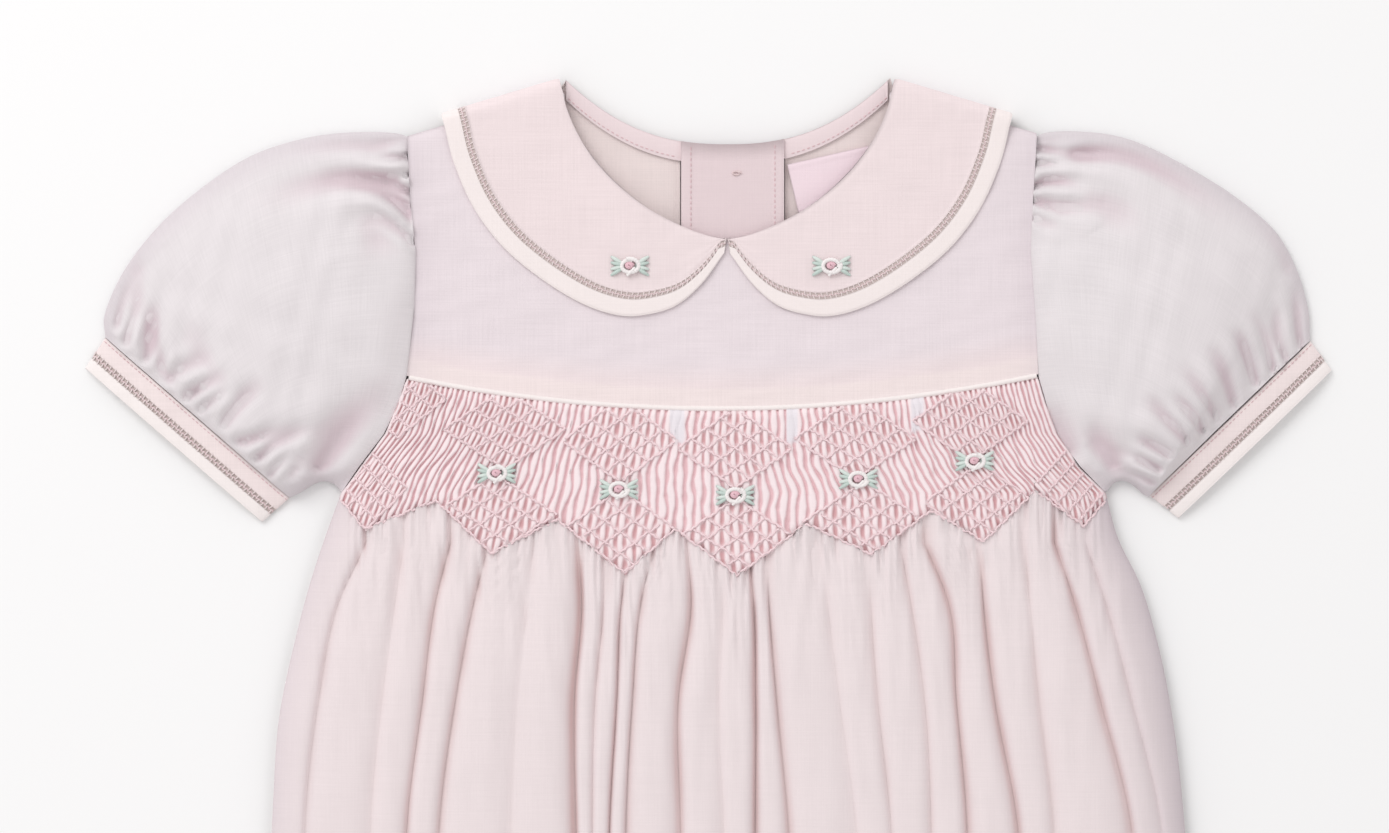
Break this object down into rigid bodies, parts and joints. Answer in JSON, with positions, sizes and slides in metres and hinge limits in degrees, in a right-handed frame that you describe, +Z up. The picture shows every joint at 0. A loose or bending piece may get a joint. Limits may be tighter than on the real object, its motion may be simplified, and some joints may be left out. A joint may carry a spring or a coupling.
{
  "type": "smocked bubble romper",
  "caption": "Baby's bubble romper lying flat, with a rounded flat collar, plain yoke, smocked front, full pleated body, puffed sleeves and banded legs.",
  "frame": {"origin": "centre of the bounding box on the surface that the romper lies on", "axes": "+X towards the viewer's right, +Y up the garment from the legs towards the collar, +Z up from the surface, out of the front"},
  "size_m": [0.3914, 0.3954, 0.0152],
  "materials": {
    "batiste": "matt, fine sheer weave",
    "hem_batiste": "matt, doubled cloth",
    "smocked_batiste": "matt, pleated and stitched with pink thread",
    "label_tape": "satin",
    "button": "pearly"
  },
  "bodies": {
    "root": {"front_panel": "smocked_batiste", "back_panel": "batiste", "front_yoke": "batiste", "back_yoke_left": "batiste", "back_yoke_right": "batiste", "back_placket_over": "batiste", "back_placket_under": "batiste", "neck_binding": "hem_batiste", "neck_label": "label_tape", "collar_left": "batiste", "collar_right": "batiste", "collar_band_left": "hem_batiste", "collar_band_right": "hem_batiste", "yoke_piping": "hem_batiste", "sleeve_left": "batiste", "sleeve_right": "batiste", "cuff_left": "batiste", "cuff_right": "batiste", "cuff_hem_left": "hem_batiste", "cuff_hem_right": "hem_batiste", "leg_band_left": "hem_batiste", "leg_band_right": "hem_batiste", "crotch_band": "hem_batiste", "back_button_1": "button", "back_button_2": "button", "back_button_3": "button"}
  },
  "joints": []
}
